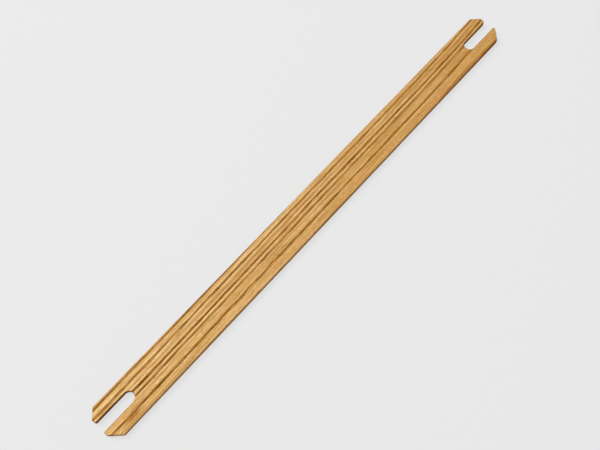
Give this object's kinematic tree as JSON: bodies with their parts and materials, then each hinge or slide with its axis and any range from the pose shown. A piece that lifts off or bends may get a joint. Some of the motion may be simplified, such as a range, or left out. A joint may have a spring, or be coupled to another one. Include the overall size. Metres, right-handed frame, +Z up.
{
  "type": "stick shuttle",
  "caption": "Flat hardwood weaving shuttle: a long thin strip with clipped corners and a round-bottomed slot sawn into each end, on which yarn is wound lengthwise.",
  "frame": {"origin": "middle of the underside, half way along the length and half way across the width", "axes": "+X along the length towards the far end, +Y across the width towards the left edge as seen from the near end, +Z up through the thickness"},
  "size_m": [0.56, 0.038, 0.006],
  "materials": {
    "hardwood": "sanded and oiled open-grained hardwood, satin, straight grain along the length"
  },
  "bodies": {
    "root": {"shuttle_stick": "hardwood"}
  },
  "joints": []
}
